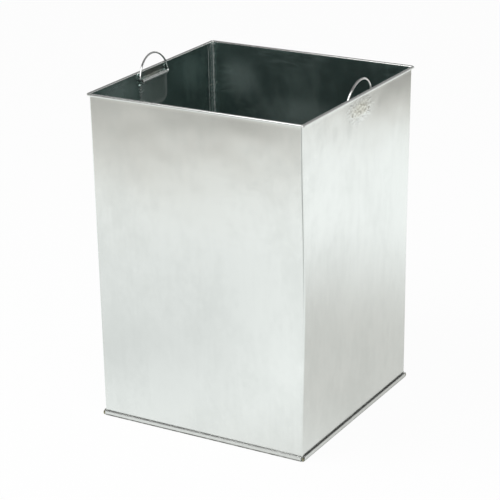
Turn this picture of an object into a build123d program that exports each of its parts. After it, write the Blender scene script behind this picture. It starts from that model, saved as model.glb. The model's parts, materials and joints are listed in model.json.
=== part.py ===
from build123d import *
from math import acos, atan, cos, degrees, sin
import os

# Square liner can of galvanized sheet: wired rim, folded foot seam and two wire bails.
# Millimetres, +Z up, origin at the middle of the footprint on the floor.
# The bails are on the -X and +X walls. The sheet's ends lap in the corner at -X, +Y.

# Overall sizes
rim_side = 381.0
foot_side = 372.2
height = 545.0

# Sheet and wire
sheet = 0.7
strap_sheet = 1.0
wire_radius = 1.6

# Wrapper bends and lap
corner_bend = 3.0
lap_width = 16.0
lap_gap = 0.1
lap_corner_cut = 12.0
lap_root_cut = 3.0
cut_spare = 1.0

# Rim bead: the sheet rolls outward round the wire and stops short of the wall
wire_play = 0.05
bead_inner = wire_radius + wire_play
bead_outer = bead_inner + sheet
bead_sweep = 310.0
rim_wire_bend = 3.0
rim_wire_butt = 1.0
rim_wire_butt_x = -120.0
corner_play = 0.1

# Foot seam: the pan wraps the wrapper's flange, and both are turned up against the wall
seam_height = 8.5
seam_wall_gap = 0.9
seam_play = 0.1
seam_half_length = 181.5
flange_half_length = 180.0
pan_corner_cut = 2.5

# Strap: a plate against the wall whose upper edge is rolled into a wide tube for the bail
tube_drop = 16.7
strap_gap = 0.05
strap_bore = 2.6
strap_tube = strap_bore + strap_sheet
strap_sweep = 305.0
tube_length = 73.0
plate_width = 80.0
plate_drop = 48.0
plate_shoulder = 4.0
plate_corner = 14.0
shoulder_corner = 3.0

# Places of the two handles along their walls, a little off the middle
handle_y = {-1: -5.0, 1: 3.0}

# Spot welds, as places along the wall and below the tube's middle
weld_spots = [(-28.0, -13.0), (0.0, -13.0), (28.0, -13.0), (-14.0, -33.0), (14.0, -33.0)]
weld_radius = 2.6
weld_depth = 0.25
weld_margin = 0.2

# Bail: half-round wire loop on a straight bar, leaning outward on the rim bead at rest
bail_rise = 39.8
arch_radius = 43.0
bail_corner = 5.0
bail_lean = 6.6
bail_ends_gap = 2.0
bar_play = 0.08

# Heights and half widths worked out from the above
bead_z = height - bead_outer
rim_half = rim_side / 2 - bead_inner - bead_outer
wire_half = rim_half + bead_inner
bead_half_length = wire_half - rim_wire_bend - corner_play
flange_u = seam_wall_gap + sheet + seam_play
seam_out = flange_u + 2 * sheet + seam_play
foot_half = foot_side / 2 - seam_out
hook_inner = flange_u / 2
hook_outer = hook_inner + sheet
hook_z = sheet + seam_play + hook_outer
pan_bend_inner = hook_outer + seam_play
pan_bend_outer = pan_bend_inner + sheet
fold_inner = (sheet + 2 * seam_play) / 2
fold_outer = fold_inner + sheet
fold_u = seam_out - fold_outer
fold_z = seam_height - fold_outer
wall_slope = (rim_half - foot_half) / (bead_z - hook_z)
wall_tilt = atan(wall_slope)
tube_z = height - tube_drop
tube_u = strap_gap + strap_sheet + strap_bore
bar_drop = strap_bore - wire_radius - bar_play


def half_at(z):
    """Half the width over the wrapper's outer faces at a height."""
    return foot_half + wall_slope * (z - hook_z)


def side_plane(turn, half):
    """Section plane across one side: x outward from that side's outer face, y up."""
    out = Vector(1, 0, 0).rotate(Axis.Z, turn)
    return Plane(origin=out * half, x_dir=out, z_dir=out.cross(Vector(0, 0, 1)))


def wall_plane(side):
    """Inner face of the -X (side -1) or +X (side 1) wall behind the tube's middle, facing inward."""
    inward = Vector(-side * cos(wall_tilt), 0, sin(wall_tilt))
    origin = Vector(side * (half_at(tube_z) - sheet), handle_y[side], tube_z)
    return Plane(origin=origin, x_dir=(0, -side, 0), z_dir=inward)


def wall_section(side):
    """Section plane across that wall: x inward from its inner face, y up the wall."""
    wall = wall_plane(side)
    return Plane(origin=wall.origin, x_dir=wall.z_dir, z_dir=(0, side, 0))


def bail_plane(side):
    """Plane of the bail at rest, whose bar lies on the bottom of the tube's bore.

    Its origin is on the bar, with x along the wall and y up the lean.
    """
    wall = wall_plane(side)
    lean = Vector(0, 0, 1).rotate(Axis.Y, side * bail_lean)
    across = Vector(0, 1, 0)
    pivot = wall.origin + wall.z_dir * tube_u - Vector(0, 0, bar_drop)
    return Plane(origin=pivot, x_dir=across, z_dir=across.cross(lean))


def wrapped_sheet(half):
    """Draws the bent sheet's outline at one height, from its free edge round to its lap."""
    flat = half - corner_bend
    inner = half - sheet
    lap_face = lap_gap - inner
    lap_bend = (lap_face + corner_bend, flat)
    lap_end = half - lap_width
    inner_bend = corner_bend - sheet
    Line((-half, flat), (-half, -flat))
    CenterArc((-flat, -flat), corner_bend, 180, 90)
    Line((-flat, -half), (flat, -half))
    CenterArc((flat, -flat), corner_bend, 270, 90)
    Line((half, -flat), (half, flat))
    CenterArc((flat, flat), corner_bend, 0, 90)
    Line((flat, half), (lap_bend[0], half))
    CenterArc(lap_bend, corner_bend, 90, 90)
    Polyline((lap_face, flat), (lap_face, lap_end), (lap_face + sheet, lap_end), (lap_face + sheet, flat))
    CenterArc(lap_bend, inner_bend, 180, -90)
    Line((lap_bend[0], inner), (flat, inner))
    CenterArc((flat, flat), inner_bend, 90, -90)
    Line((inner, flat), (inner, -flat))
    CenterArc((flat, -flat), inner_bend, 0, -90)
    Line((flat, -inner), (-flat, -inner))
    CenterArc((-flat, -flat), inner_bend, 270, -90)
    Polyline((-inner, -flat), (-inner, flat), (-half, flat))


def rolled_edge(center, inner, outer, sweep):
    """Draws a sheet edge rolled over clockwise from its left side, as an open ring."""
    over = CenterArc(center, outer, 180, -sweep)
    under = CenterArc(center, inner, 180, -sweep)
    Line(over @ 0, under @ 0)
    Line(over @ 1, under @ 1)


def hooked_edge():
    """Draws the wrapper's foot flange: a turn under the wall, then a leg up outside it."""
    Line((-sheet, hook_z), (0, hook_z))
    CenterArc((hook_inner, hook_z), hook_inner, 180, 180)
    Polyline((flange_u, hook_z), (flange_u, fold_z), (flange_u + sheet, fold_z), (flange_u + sheet, hook_z))
    CenterArc((hook_inner, hook_z), hook_outer, 0, -180)


def folded_edge():
    """Draws the pan's edge: up outside the flange, over its top and down inside it."""
    leg = seam_out - sheet
    tuck = seam_wall_gap + sheet
    CenterArc((hook_inner, hook_z), pan_bend_outer, 270, 90)
    Line((seam_out, hook_z), (seam_out, fold_z))
    CenterArc((fold_u, fold_z), fold_outer, 0, 180)
    Polyline((seam_wall_gap, fold_z), (seam_wall_gap, hook_z), (tuck, hook_z), (tuck, fold_z))
    CenterArc((fold_u, fold_z), fold_inner, 180, -180)
    Line((leg, fold_z), (leg, hook_z))
    CenterArc((hook_inner, hook_z), pan_bend_inner, 0, -90)
    Line((hook_inner, sheet), (hook_inner, 0))


# Wrapper: walls and lap in one loft, then the rolled rim and the hooked foot of each side
with BuildPart() as wrapper:
    for level, half in ((hook_z, foot_half), (bead_z, rim_half)):
        with BuildSketch(Plane.XY.offset(level)):
            with BuildLine():
                wrapped_sheet(half)
            make_face()
    loft(ruled=True)
    for turn in (0, 90, 180, 270):
        with BuildSketch(side_plane(turn, rim_half)):
            with BuildLine():
                rolled_edge((bead_inner, bead_z), bead_inner, bead_outer, bead_sweep)
            make_face()
        extrude(amount=bead_half_length, both=True)
        with BuildSketch(side_plane(turn, foot_half)):
            with BuildLine():
                hooked_edge()
            make_face()
        extrude(amount=flange_half_length, both=True)
    # The lap's upper corner is cut away below the bead
    lap_end = rim_half - lap_width
    lap_root = rim_half - corner_bend
    cut_low = bead_z - lap_corner_cut
    with BuildSketch(Plane.YZ.offset(sheet + lap_gap / 2 - rim_half)):
        Polygon(
            (lap_end - cut_spare, bead_z + cut_spare),
            (lap_end - cut_spare, cut_low),
            (lap_end, cut_low),
            (lap_root, bead_z - lap_root_cut),
            (lap_root, bead_z + cut_spare),
            align=None,
        )
    extrude(amount=2 * sheet, mode=Mode.SUBTRACT)

# Rim wire: one length bent square, with its butt joint hidden in the back bead
with BuildPart() as rim_wire:
    with BuildLine(Plane.XY.offset(bead_z)) as ring:
        FilletPolyline(
            (rim_wire_butt_x + rim_wire_butt, wire_half),
            (wire_half, wire_half),
            (wire_half, -wire_half),
            (-wire_half, -wire_half),
            (-wire_half, wire_half),
            (rim_wire_butt_x, wire_half),
            radius=rim_wire_bend,
        )
    with BuildSketch(Plane(origin=ring.line @ 0, z_dir=ring.line % 0)):
        Circle(wire_radius)
    sweep(path=ring.line)

# Bottom pan: flat sheet with clipped corners and a folded edge on each side
with BuildPart() as bottom_pan:
    with BuildSketch():
        Rectangle(2 * (foot_half + hook_inner), 2 * (foot_half + hook_inner))
        chamfer(vertices(), length=pan_corner_cut)
    extrude(amount=sheet)
    for turn in (0, 90, 180, 270):
        with BuildSketch(side_plane(turn, foot_half)):
            with BuildLine():
                folded_edge()
            make_face()
        extrude(amount=seam_half_length, both=True)


def make_strap(side):
    """Plate with rounded lower corners, spot-weld marks and a rolled tube along its top."""
    wall = wall_plane(side)
    with BuildPart() as strap:
        with BuildSketch(wall.offset(strap_gap)):
            with Locations((0, -plate_shoulder)):
                Rectangle(plate_width, plate_drop - plate_shoulder, align=(Align.CENTER, Align.MAX))
            fillet(vertices().group_by(Axis.Y)[0], radius=plate_corner)
            fillet(vertices().group_by(Axis.Y)[-1], radius=shoulder_corner)
            Rectangle(tube_length, 2 * plate_shoulder, align=(Align.CENTER, Align.MAX))
        extrude(amount=strap_sheet)
        with BuildSketch(wall_section(side)):
            with BuildLine():
                rolled_edge((tube_u, 0), strap_bore, strap_tube, strap_sweep)
            make_face()
        extrude(amount=tube_length / 2, both=True)
        with BuildSketch(wall.offset(strap_gap + strap_sheet - weld_depth)):
            with Locations(weld_spots):
                Circle(weld_radius)
        extrude(amount=weld_depth + weld_margin, mode=Mode.SUBTRACT)
    return strap.part


def make_bail(side):
    """Half-round loop on a straight bar whose two ends nearly meet inside the strap's tube."""
    arch_low = bail_rise - arch_radius
    reach = arch_radius - bail_corner
    half_arch = degrees(acos((bail_corner - arch_low) / reach))
    bar = reach * sin(acos((bail_corner - arch_low) / reach))
    with BuildPart() as bail:
        with BuildLine(bail_plane(side)) as loop:
            Line((-bail_ends_gap / 2, 0), (-bar, 0))
            CenterArc((-bar, bail_corner), bail_corner, 270, half_arch - 180)
            CenterArc((0, arch_low), arch_radius, 90 + half_arch, -2 * half_arch)
            CenterArc((bar, bail_corner), bail_corner, 90 - half_arch, half_arch - 180)
            Line((bar, 0), (bail_ends_gap / 2, 0))
        path = loop.wires()[0]
        with BuildSketch(Plane(origin=path @ 0, z_dir=path % 0)):
            Circle(wire_radius)
        sweep(path=path)
    return bail.part


pieces = {
    "wrapper": wrapper.part,
    "rim_wire": rim_wire.part,
    "bottom_pan": bottom_pan.part,
}
for side, hand in ((-1, "left"), (1, "right")):
    pieces["handle_strap_" + hand] = make_strap(side)
    pieces["handle_bail_" + hand] = make_bail(side)

os.makedirs("parts", exist_ok=True)
for name, piece in pieces.items():
    piece.label = name
    export_step(piece, "parts/" + name + ".step")

for side in (-1, 1):
    pivot = bail_plane(side).origin
    print("bail pivot", round(pivot.X, 3), round(pivot.Y, 3), round(pivot.Z, 3))
print("wall tilt", round(degrees(wall_tilt), 3))
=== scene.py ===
import json
import math

import bmesh
import bpy
from mathutils import Matrix, Vector, noise


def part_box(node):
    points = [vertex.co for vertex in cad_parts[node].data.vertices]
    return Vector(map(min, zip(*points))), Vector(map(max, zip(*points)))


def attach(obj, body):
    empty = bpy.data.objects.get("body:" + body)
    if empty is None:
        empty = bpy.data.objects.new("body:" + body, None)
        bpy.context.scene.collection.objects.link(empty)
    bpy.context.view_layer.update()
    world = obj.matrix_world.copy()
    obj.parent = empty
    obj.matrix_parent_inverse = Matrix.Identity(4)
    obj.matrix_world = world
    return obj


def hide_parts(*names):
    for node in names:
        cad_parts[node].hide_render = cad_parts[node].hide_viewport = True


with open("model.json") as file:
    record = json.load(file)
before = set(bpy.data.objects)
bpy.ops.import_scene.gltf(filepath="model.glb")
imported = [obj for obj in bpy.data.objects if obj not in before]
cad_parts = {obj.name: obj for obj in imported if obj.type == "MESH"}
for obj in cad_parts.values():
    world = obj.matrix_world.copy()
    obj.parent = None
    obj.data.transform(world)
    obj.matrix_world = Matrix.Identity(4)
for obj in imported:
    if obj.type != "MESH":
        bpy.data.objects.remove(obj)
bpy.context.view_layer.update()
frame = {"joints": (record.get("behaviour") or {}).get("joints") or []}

bl_info = {
    "name": "Square liner can",
    "version": (1, 0, 0),
    "blender": (4, 5, 0),
    "location": "View3D > Sidebar > Liner can",
    "description": "Dresses a square galvanized liner can with a wired rim, a folded foot and two bails",
    "category": "Object",
}

# Sizes read from the frame, in metres
wrapper_low, wrapper_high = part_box("wrapper")
pan_low, pan_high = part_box("bottom_pan")
hinges = {joint["child"]: Vector(joint["pos_m"]) for joint in frame["joints"]}
rim_side = wrapper_high.x - wrapper_low.x
foot_side = pan_high.x - pan_low.x
can_height = wrapper_high.z
seam_height = pan_high.z

# Sheet, wire and folds, in metres
sheet = 0.0007
wire_radius = 0.0016
bead_inner = 0.00165
bead_outer = bead_inner + sheet
bead_sweep = math.radians(310)
rim_wire_bend = 0.003
bead_end_cover = 0.0012
corner_bend = 0.003
lap_width = 0.016
lap_gap = 0.0001
lap_cut = 0.012
lap_root_cut = 0.003
seam_wall_gap = 0.0009
seam_play = 0.0001
seam_half_length = 0.1815
flange_half_length = 0.180
flange_u = seam_wall_gap + sheet + seam_play
seam_out = flange_u + 2 * sheet + seam_play
hook_radius = (flange_u + sheet) / 2
hook_u = flange_u / 2
hook_z = 1.5 * sheet + seam_play + hook_radius
fold_radius = sheet + seam_play
fold_u = seam_out - fold_radius - sheet / 2
fold_z = seam_height - fold_radius - sheet / 2
pan_bend = hook_radius + sheet + seam_play
bead_z = can_height - bead_outer
rim_half = rim_side / 2 - bead_inner - bead_outer
foot_half = foot_side / 2 - seam_out
wire_half = rim_half + bead_inner
bead_half_length = wire_half - rim_wire_bend - seam_play + bead_end_cover
wall_slope = (rim_half - foot_half) / (bead_z - hook_z)
rim_wire_butt = 0.001
rim_wire_butt_x = -0.120

# Straps and bails, in metres
strap_sheet = 0.001
strap_gap = 0.00005
strap_bore = 0.0026
strap_sweep = math.radians(305)
tube_u = strap_gap + strap_sheet + strap_bore
tube_half = 0.0365
plate_half = 0.040
plate_drop = 0.048
plate_shoulder = 0.004
plate_corner = 0.014
shoulder_corner = 0.003
shoulder_edge = 0.0001
plate_row = 0.0008
border_width = 0.008
border_slope = 0.004
border_rise = 0.0003
border_rub = 0.55
tube_rub = 0.9
bar_play = 0.00008
bar_drop = strap_bore - wire_radius - bar_play
bail_rise = 0.0398
arch_radius = 0.043
bail_corner = 0.005
bail_lean = math.radians(6.6)
bail_ends_gap = 0.002

# Spot welds, in metres: places on a strap along the wall and up from the tube, and the lap's row
upper_welds = ((-0.028, -0.013), (0.0, -0.013), (0.028, -0.013))
lower_welds = ((-0.014, -0.033), (0.014, -0.033))
weld_spots = upper_welds + lower_welds
weld_radius = 0.0026
weld_depth = 0.00025
lap_weld_low = 0.05
lap_weld_step = 0.06
lap_weld_count = 8
weld_seed = 5

# Solder in the foot's corners, in metres: half sizes, how far in and up it sits, then how uneven it is
solder_half = Vector((0.0017, 0.0017, 0.0037))
solder_inset = 0.0002
solder_lift = 0.0004
solder_unevenness = 0.22
solder_grain = 1.9
solder_shift = 3

# Waves that the hammer left in a metre of the foot seam
hammer_rate = 60

# Where the sheet's corners lean off straight, half way up: corner signs and lean
corner_bows = (
    ((1, -1), (0.0034, 0.0006)),
    ((-1, -1), (-0.0002, 0.0005)),
    ((1, 1), (-0.0012, 0.0004)),
    ((-1, 1), (0.0006, -0.0004)),
)
bow_reach = 0.09

# Where the sheet can't wave, in metres: under the bead, over the foot, and beside and under a strap, then
# the still strip by a corner and the one where waves set in, as shares of a wall's half width
held_under_bead = 0.03
held_over_foot = 0.05
held_beside_strap = 0.02
held_under_strap = 0.03
still_by_corner = 0.09
easing_by_corner = 0.12

# The side with the lap, how far along X a side wall's direction points at least, and the share of the
# bead's turn in which its ends reach their full length
lap_side = 3
side_facing = 0.9
bead_end_ease = 0.125

# Direction of the studio's open, darker side, as a turn from -Y towards +X
studio_open = math.radians(30)

# Darker places painted on the studio floor's glow, which the walls mirror: painted shade, a shadow of the can
# near it and dimming farther off: middle, where each is full and where it is gone, how dark it is, and how
# warm
painted_floor_shades = (
    ((0.30, 0.20), 0.10, 0.80, 0.65, 0.4),
    ((-0.50, -0.62), 0.20, 0.60, 0.83, 0.0),
    ((-0.20, -0.38), 0.05, 0.35, 0.90, 0.0),
    ((-1.00, -1.90), 0.36, 0.95, 0.53, 1.0),
    ((1.30, 2.20), 0.35, 1.00, 0.30, 1.0),
    ((0.75, -1.40), 0.30, 0.95, 0.30, 0.0),
)

# The floor, in metres: half its side, its height, and the middle of its paper, where the paper is bright
# in gloss, where it is dim, and how dim; the dimming is painted shade in the floor's glow
floor_reach = 8.0
floor_height = -0.0004
paper_middle = (0.1, 0.1, 0.0)
paper_bright = 1.9
paper_dim = 2.7
paper_low = 0.4

# How much of the floor is plain white to the camera, its tones in gloss, and the painted shade at which it
# is warmest
floor_white = 0.96
white_tone = (1.0, 1.0, 1.0, 1.0)
cool_tone = (0.965, 1.0, 0.99, 1.0)
warm_tone = (1.0, 0.985, 0.92, 1.0)
warm_shade = 0.72

# Lamps: name, the setting with its power, place, what it points at, its side, and whether only gloss
# shows it
lamps = (
    ("key", "key", (-0.9, -1.1, 2.2), (0.0, 0.0, 0.2), 1.6, False),
    ("fill", "fill", (1.8, -1.6, 1.6), (0.0, 0.0, 0.3), 1.4, False),
    ("front glint", "glint", (1.15, -1.4, 1.95), (0.0, 0.0, 0.5), 1.4, True),
    ("bead glint", "bead_glint", (-0.275, -0.74, 1.235), (rim_half, -rim_half, can_height), 0.5, True),
)

# Marks on the right wall: along the wall, up it, half their width and height, and their strength
smudges = (
    (-0.033, 0.497, 0.016, 0.022, 0.16),
    (-0.082, 0.503, 0.014, 0.024, 0.12),
    (-0.133, 0.518, 0.012, 0.017, 0.12),
    (-0.008, 0.502, 0.010, 0.014, 0.13),
    (0.071, 0.517, 0.014, 0.014, 0.10),
    (-0.031, 0.533, 0.0045, 0.003, 0.35),
    (-0.014, 0.530, 0.003, 0.0035, 0.30),
    (-0.004, 0.517, 0.0035, 0.003, 0.40),
    (-0.034, 0.509, 0.004, 0.003, 0.35),
    (0.012, 0.507, 0.0045, 0.0025, 0.30),
    (0.037, 0.520, 0.003, 0.003, 0.35),
)

# Light lines that flux left on the lap inside: distance from the corner, half their width, and strength
lap_lines = ((0.016, 0.0014, 0.75), (0.008, 0.0075, 0.42), (0.0015, 0.0028, 0.95))
lap_line_z = 0.46
lap_line_depth = 0.006
lap_line_half_height = 0.3

# Paler places inside: middle, half sizes, strength, and how much of the shine they keep
inside_wipes = (
    ((-0.187, -0.115, 0.520), (0.02, 0.075, 0.045), 0.65, 0.6),
    ((-0.135, 0.187, 0.485), (0.055, 0.02, 0.050), 0.5, 0.8),
    ((0.000, 0.187, 0.435), (0.130, 0.02, 0.045), 0.5, 0.85),
)

# Marks by the straps, in metres: how far they reach through a wall, then the rise and half sizes of the
# welds' scorch, of the dents round the welds, with a dent's length, and of the worn wall behind a bail
mark_depth = 0.1
scorch_rise = 0.006
scorch_half = (mark_depth, 0.045, 0.018)
dents_rise = 0.005
dents_half = (mark_depth, 0.05, 0.024)
dent_length = 0.005
worn_rise = 0.010
worn_half = (mark_depth, 0.046, 0.013)

# Where soil and painted shade go, in metres: how far inside the foot's wall line the outside begins and is
# full, and how deep the front's own strip is
outside_begins = 0.001
outside_full = 0.0002
front_strip = 0.002

# How marks act on a metal: shades of the streaks, how far bloom and streaks roughen it, and how many times
# more of the dull film a mark has
streak_dark = 0.9
streak_light = 1.08
bloom_roughening = 0.6
streak_roughening = 0.12
film_growth = 3

# How far smears curve off straight, in metres, and the stretch of a noise that is the same all ways
stroke_bend = 0.05
evenly = (1, 1, 1)

# Swing of a wave's noise, and the angle from which an edge is sharp
wave_gain = 4.0
sharp_angle = math.radians(35)

# The two sides with a bail: sign along X and name
hands = ((-1, "left"), (1, "right"))

# Kinds of socket, and numbers of the sockets that have no name of their own
float_input = "NodeSocketFloat"
vector_input = "NodeSocketVector"
color_mix_inputs = (0, 6, 7)
color_mix_output = 2
random_low = 2
random_high = 3
random_result = 1


def half_at(z):
    """Half the width over the outer faces at a height."""
    return foot_half + wall_slope * (z - hook_z)


def hinge_at(side):
    """The bail's hinge on the left wall for a negative side, or on the right one."""
    return hinges["bail_left" if side < 0 else "bail_right"]


# Small helpers for node trees
def add(tree, kind, inputs=None, **settings):
    """Adds a node, sets its properties, and fills or links its inputs."""
    node = tree.nodes.new(kind)
    for name, value in settings.items():
        setattr(node, name, value)
    for key, value in (inputs or {}).items():
        socket = node.inputs[key]
        if isinstance(value, bpy.types.NodeSocket):
            tree.links.new(value, socket)
        else:
            socket.default_value = value
    return node


def maths(tree, operation, first, second=0.0, clamp=False):
    """One Math node's value."""
    node = add(tree, "ShaderNodeMath", {0: first, 1: second}, operation=operation, use_clamp=clamp)
    return node.outputs[0]


def weighed(tree, first, second, share):
    """Two values added, the first by its share and the second by the rest."""
    rest = maths(tree, "MULTIPLY", second, 1 - share)
    return maths(tree, "ADD", maths(tree, "MULTIPLY", first, share), rest)


def ramp(tree, value, low, high, to_low=0.0, to_high=1.0, smooth=True):
    """Maps a value from one range to another, clamped."""
    kind = "SMOOTHSTEP" if smooth else "LINEAR"
    inputs = {"Value": value, "From Min": low, "From Max": high, "To Min": to_low, "To Max": to_high}
    return add(tree, "ShaderNodeMapRange", inputs, interpolation_type=kind).outputs["Result"]


def mix_colors(tree, factor, first, second, blend="MIX"):
    """Mixes two colours."""
    inputs = dict(zip(color_mix_inputs, (factor, first, second)))
    node = add(tree, "ShaderNodeMix", inputs, data_type="RGBA", blend_type=blend)
    return node.outputs[color_mix_output]


def new_group(name, inputs, outputs):
    """A shader node group with named inputs and outputs."""
    tree = bpy.data.node_groups.new(name, "ShaderNodeTree")
    for label, (kind, default) in inputs.items():
        socket = tree.interface.new_socket(label, in_out="INPUT", socket_type=kind)
        socket.default_value = default
    for label in outputs:
        tree.interface.new_socket(label, in_out="OUTPUT", socket_type=float_input)
    return tree, add(tree, "NodeGroupInput"), add(tree, "NodeGroupOutput")


def place_group(tree, group, vector, **values):
    """Places a group in a material with its own values, and gives its only output."""
    node = add(tree, "ShaderNodeGroup", node_tree=group)
    tree.links.new(vector, node.inputs["Vector"])
    for name, value in values.items():
        node.inputs[name.replace("_", " ").capitalize()].default_value = value
    return node.outputs[0]


def stretched_noise(tree, vector, size, stretch, detail=4.0, roughness=0.55, shift=(0.0, 0.0, 0.0)):
    """Noise whose grains are size long in metres along each axis, times stretch."""
    scale = [1.0 / (size * s) for s in stretch]
    mapped = add(tree, "ShaderNodeMapping", {"Vector": vector, "Location": shift, "Scale": scale})
    inputs = {"Vector": mapped.outputs[0], "Scale": 1.0, "Detail": detail, "Roughness": roughness}
    return add(tree, "ShaderNodeTexNoise", inputs).outputs["Fac"]


def streak_group():
    """Fine rolling streaks: long thin grains of brightness along one axis."""
    inputs = {"Vector": (vector_input, (0, 0, 0)), "Contrast": (float_input, 1.0)}
    tree, entry, result = new_group("Rolling streaks", inputs, ["Value"])
    fine = stretched_noise(tree, entry.outputs["Vector"], size=0.0009, stretch=(1, 1, 90), detail=3.0)
    broad = stretched_noise(tree, entry.outputs["Vector"], size=0.006, stretch=(1, 1, 40), detail=2.0)
    both = weighed(tree, fine, broad, share=0.6)
    spread = maths(tree, "MULTIPLY", maths(tree, "SUBTRACT", both, 0.5), entry.outputs["Contrast"])
    tree.links.new(maths(tree, "ADD", spread, 0.5, clamp=True), result.inputs["Value"])
    return tree


def bloom_group():
    """Cloudy zinc bloom: broad soft patches broken by finer ones."""
    inputs = {
        "Vector": (vector_input, (0, 0, 0)),
        "Low": (float_input, 0.45),
        "High": (float_input, 0.75),
    }
    tree, entry, result = new_group("Zinc bloom", inputs, ["Mask"])
    vector = entry.outputs["Vector"]
    broad = stretched_noise(tree, vector, size=0.11, stretch=(1, 1, 1.4), detail=5.0, roughness=0.6)
    fine = stretched_noise(tree, vector, size=0.018, stretch=(1, 1, 1.8), detail=5.0, roughness=0.65,
                           shift=(3.1, 1.7, 5.3))
    both = weighed(tree, broad, fine, share=0.65)
    mask = ramp(tree, both, entry.outputs["Low"], entry.outputs["High"])
    tree.links.new(mask, result.inputs["Mask"])
    return tree


def smear_group():
    """Wiped smears and scuffs: short curved strokes where the sheet was handled."""
    inputs = {
        "Vector": (vector_input, (0, 0, 0)),
        "Low": (float_input, 0.55),
        "High": (float_input, 0.7),
    }
    tree, entry, result = new_group("Handling smears", inputs, ["Mask"])
    vector = entry.outputs["Vector"]
    warp = add(tree, "ShaderNodeTexNoise", {"Vector": vector, "Scale": 9.0, "Detail": 2.0}).outputs["Color"]
    pushed = add(tree, "ShaderNodeVectorMath", {0: warp, 1: (stroke_bend,) * 3}, operation="MULTIPLY")
    bent = add(tree, "ShaderNodeVectorMath", {0: vector, 1: pushed.outputs[0]}, operation="ADD").outputs[0]
    strokes = stretched_noise(tree, bent, size=0.0026, stretch=(14, 14, 1.3), detail=2.0, roughness=0.5)
    patches = stretched_noise(tree, vector, size=0.09, stretch=evenly, detail=2.0, roughness=0.5,
                              shift=(7.7, 2.1, 0.4))
    place = ramp(tree, patches, low=0.42, high=0.62)
    mask = ramp(tree, strokes, entry.outputs["Low"], entry.outputs["High"])
    tree.links.new(maths(tree, "MULTIPLY", mask, place), result.inputs["Mask"])
    return tree


def crevice_shade_group():
    """Grime and painted shade that is full at one height, fades out by another, and is broken along its
    length.
    """
    inputs = {
        "Vector": (vector_input, (0, 0, 0)),
        "Full": (float_input, 0.008),
        "Gone": (float_input, 0.01),
    }
    tree, entry, result = new_group("Crevice grime", inputs, ["Mask"])
    vector = entry.outputs["Vector"]
    height = add(tree, "ShaderNodeSeparateXYZ", {0: vector}).outputs["Z"]
    band = ramp(tree, height, entry.outputs["Full"], entry.outputs["Gone"], 1.0, 0.0)
    grains = stretched_noise(tree, vector, size=0.009, stretch=evenly, detail=3.0)
    broken = ramp(tree, grains, low=0.3, high=0.62, to_low=0.55, to_high=1.0)
    tree.links.new(maths(tree, "MULTIPLY", band, broken), result.inputs["Mask"])
    return tree


def spot_group():
    """One soft spot: full at its middle and gone at its edge, with a ragged outline."""
    inputs = {
        "Vector": (vector_input, (0, 0, 0)),
        "Middle": (vector_input, (0, 0, 0)),
        "Shape": (vector_input, (100, 100, 100)),
        "Ragged": (float_input, 1.0),
    }
    tree, entry, result = new_group("Soft spot", inputs, ["Mask"])
    away = add(tree, "ShaderNodeVectorMath", {0: entry.outputs["Vector"], 1: entry.outputs["Middle"]},
               operation="SUBTRACT")
    scaled = add(tree, "ShaderNodeVectorMath", {0: away.outputs[0], 1: entry.outputs["Shape"]},
                 operation="MULTIPLY")
    gap = add(tree, "ShaderNodeVectorMath", {0: scaled.outputs[0]}, operation="LENGTH").outputs["Value"]
    ragged = stretched_noise(tree, entry.outputs["Vector"], size=0.004, stretch=evenly, detail=3.0)
    torn = maths(tree, "MULTIPLY", maths(tree, "SUBTRACT", ragged, 0.5), entry.outputs["Ragged"])
    rough_gap = maths(tree, "ADD", gap, torn)
    mask = ramp(tree, rough_gap, low=0.2, high=1.0, to_low=1.0, to_high=0.0)
    tree.links.new(mask, result.inputs["Mask"])
    return tree


groups = {}


def shader_group(name, maker):
    """The group of that name, made on first use."""
    if name not in groups:
        groups[name] = maker()
    return groups[name]


def new_material(name):
    """A material with one Principled shader, its tree, shader and object coordinates."""
    material = bpy.data.materials.new(name)
    material.use_nodes = True
    tree = material.node_tree
    shader = tree.nodes["Principled BSDF"]
    place = add(tree, "ShaderNodeTexCoord").outputs["Object"]
    return material, tree, shader, place


def shaded_metal(name, color, dull, roughness, rough_spread, streaks, bloom, smear, film=0.12, bump=0.00002):
    """Zinc-coated steel with rolling streaks, cloudy bloom and wiped smears."""
    material, tree, shader, place = new_material(name)
    streak = place_group(tree, shader_group("streaks", streak_group), place, contrast=streaks)
    cloud = place_group(tree, shader_group("bloom", bloom_group), place, low=0.42, high=0.66)
    wipe = place_group(tree, shader_group("smears", smear_group), place, low=0.5, high=0.68)
    cloudy = maths(tree, "MULTIPLY", cloud, bloom)
    wiped = maths(tree, "MULTIPLY", wipe, smear)
    clouded = mix_colors(tree, cloudy, (*color, 1.0), (*dull, 1.0))
    lined = ramp(tree, streak, 0.0, 1.0, streak_dark, streak_light, smooth=False)
    tone = add(tree, "ShaderNodeCombineColor", {0: lined, 1: lined, 2: lined}).outputs[0]
    tree.links.new(mix_colors(tree, 1.0, clouded, tone, "MULTIPLY"), shader.inputs["Base Color"])
    marks = maths(tree, "ADD", maths(tree, "MULTIPLY", cloudy, bloom_roughening), wiped, clamp=True)
    rough = ramp(tree, marks, 0.0, 1.0, roughness, roughness + rough_spread, smooth=False)
    lines = maths(tree, "MULTIPLY", maths(tree, "SUBTRACT", streak, 0.5), streak_roughening)
    tree.links.new(maths(tree, "ADD", rough, lines, clamp=True), shader.inputs["Roughness"])
    metal = ramp(tree, marks, 0.0, 1.0, 1.0 - film, 1.0 - film_growth * film, smooth=False)
    tree.links.new(metal, shader.inputs["Metallic"])
    height = maths(tree, "MULTIPLY", streak, bump)
    relief = add(tree, "ShaderNodeBump", {"Strength": 1.0, "Distance": 1.0, "Height": height})
    tree.links.new(relief.outputs["Normal"], shader.inputs["Normal"])
    return material


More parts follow.
